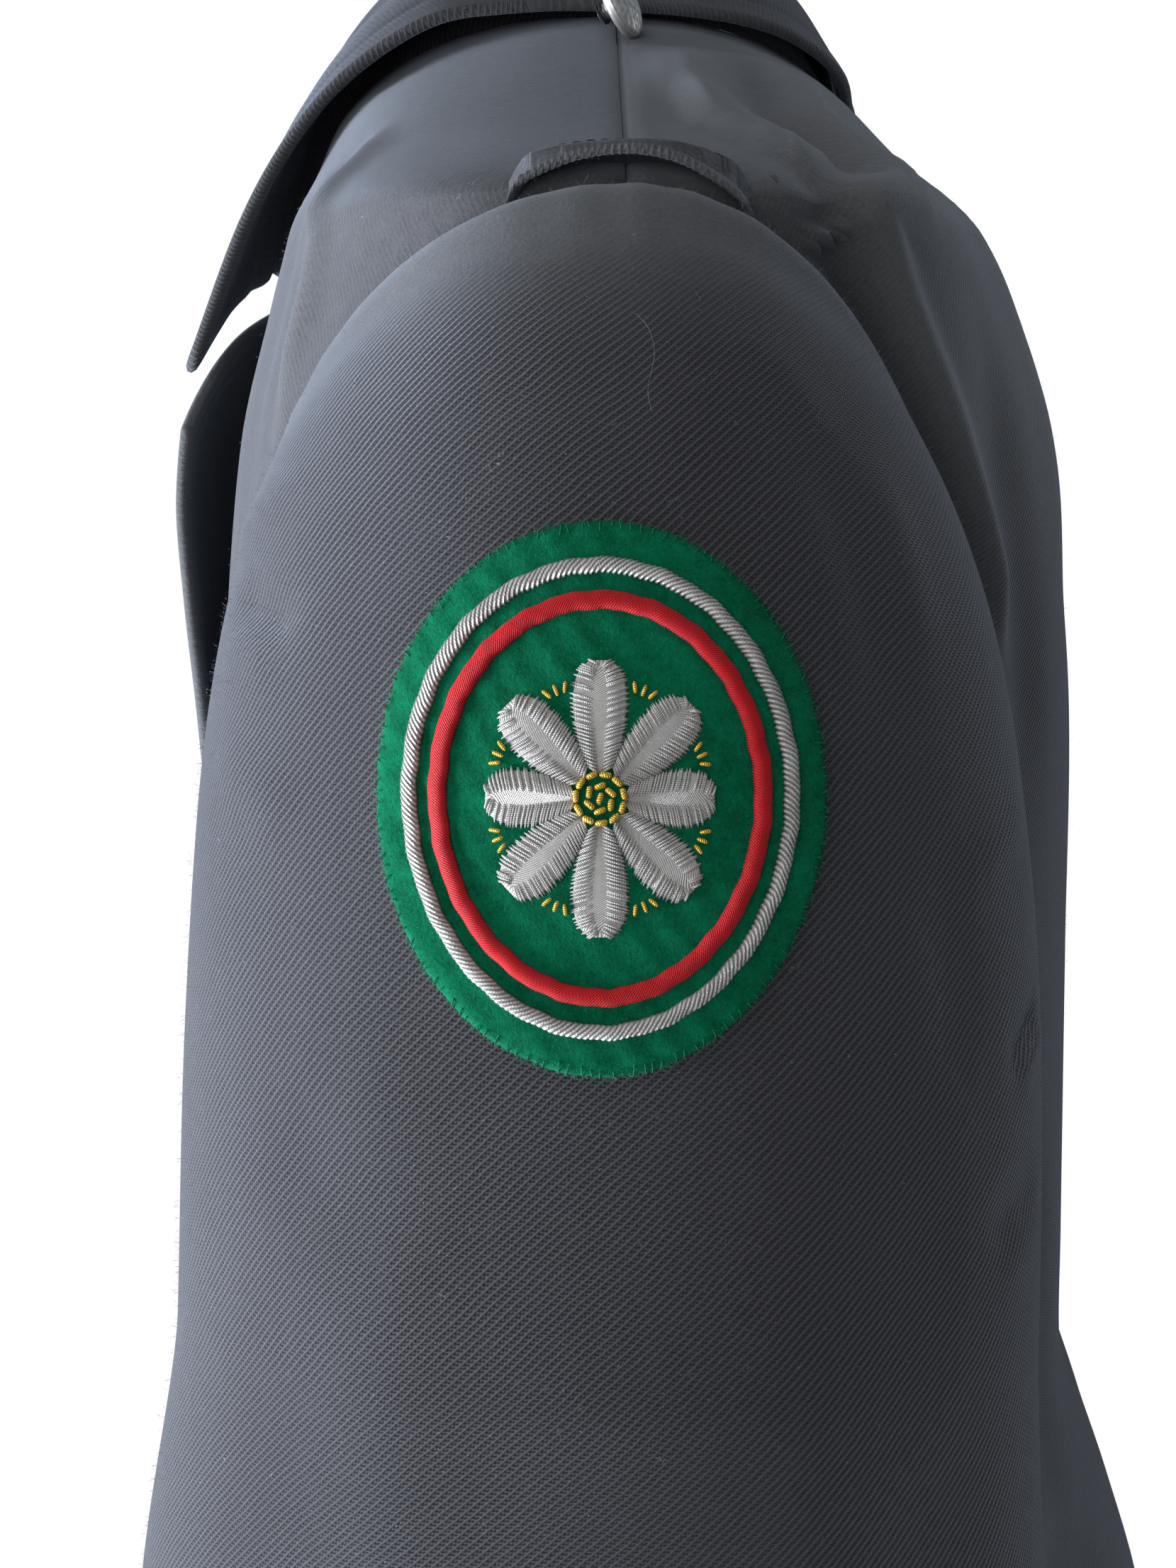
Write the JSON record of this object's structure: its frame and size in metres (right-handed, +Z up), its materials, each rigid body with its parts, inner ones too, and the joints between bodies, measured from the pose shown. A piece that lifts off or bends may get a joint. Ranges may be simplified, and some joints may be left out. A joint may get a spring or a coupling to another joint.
{
  "type": "military dress jacket, worn shape",
  "caption": "Hollow worn-shape military dress jacket in dark twill with notched lapels, two-piece sleeves, shoulder loops, metal buttons and an oval felt sleeve patch.",
  "frame": {"origin": "on the centre plane at neck height, where the wearer's shoulders carry the coat", "axes": "+Z up along the body, +Y towards the wearer's back, +X towards the wearer's left"},
  "size_m": [0.678, 0.3268, 0.7741],
  "materials": {
    "cloth_grey": "napped wool twill, matt",
    "felt_green": "wool felt, matt",
    "cord_red": "corded silk thread",
    "bullion_silver": "metal-wrapped bullion thread",
    "bullion_gold": "gilt purl bead thread",
    "button_pewter": "pebbled, dulled white metal"
  },
  "bodies": {
    "root": {"back_left": "cloth_grey", "back_right": "cloth_grey", "button_front_1": "button_pewter", "button_front_2": "button_pewter", "button_front_3": "button_pewter", "button_front_4": "button_pewter", "button_shoulder_left": "button_pewter", "button_shoulder_right": "button_pewter", "collar": "cloth_grey", "front_left": "cloth_grey", "front_right": "cloth_grey", "lapel_left": "cloth_grey", "lapel_right": "cloth_grey", "loop_left": "cloth_grey", "loop_right": "cloth_grey", "patch_cord_inner": "cord_red", "patch_cord_outer": "bullion_silver", "patch_felt": "felt_green", "patch_gold": "bullion_gold", "patch_rosette": "bullion_silver", "under_sleeve_left": "cloth_grey", "under_sleeve_right": "cloth_grey", "upper_sleeve_left": "cloth_grey", "upper_sleeve_right": "cloth_grey"}
  },
  "joints": []
}
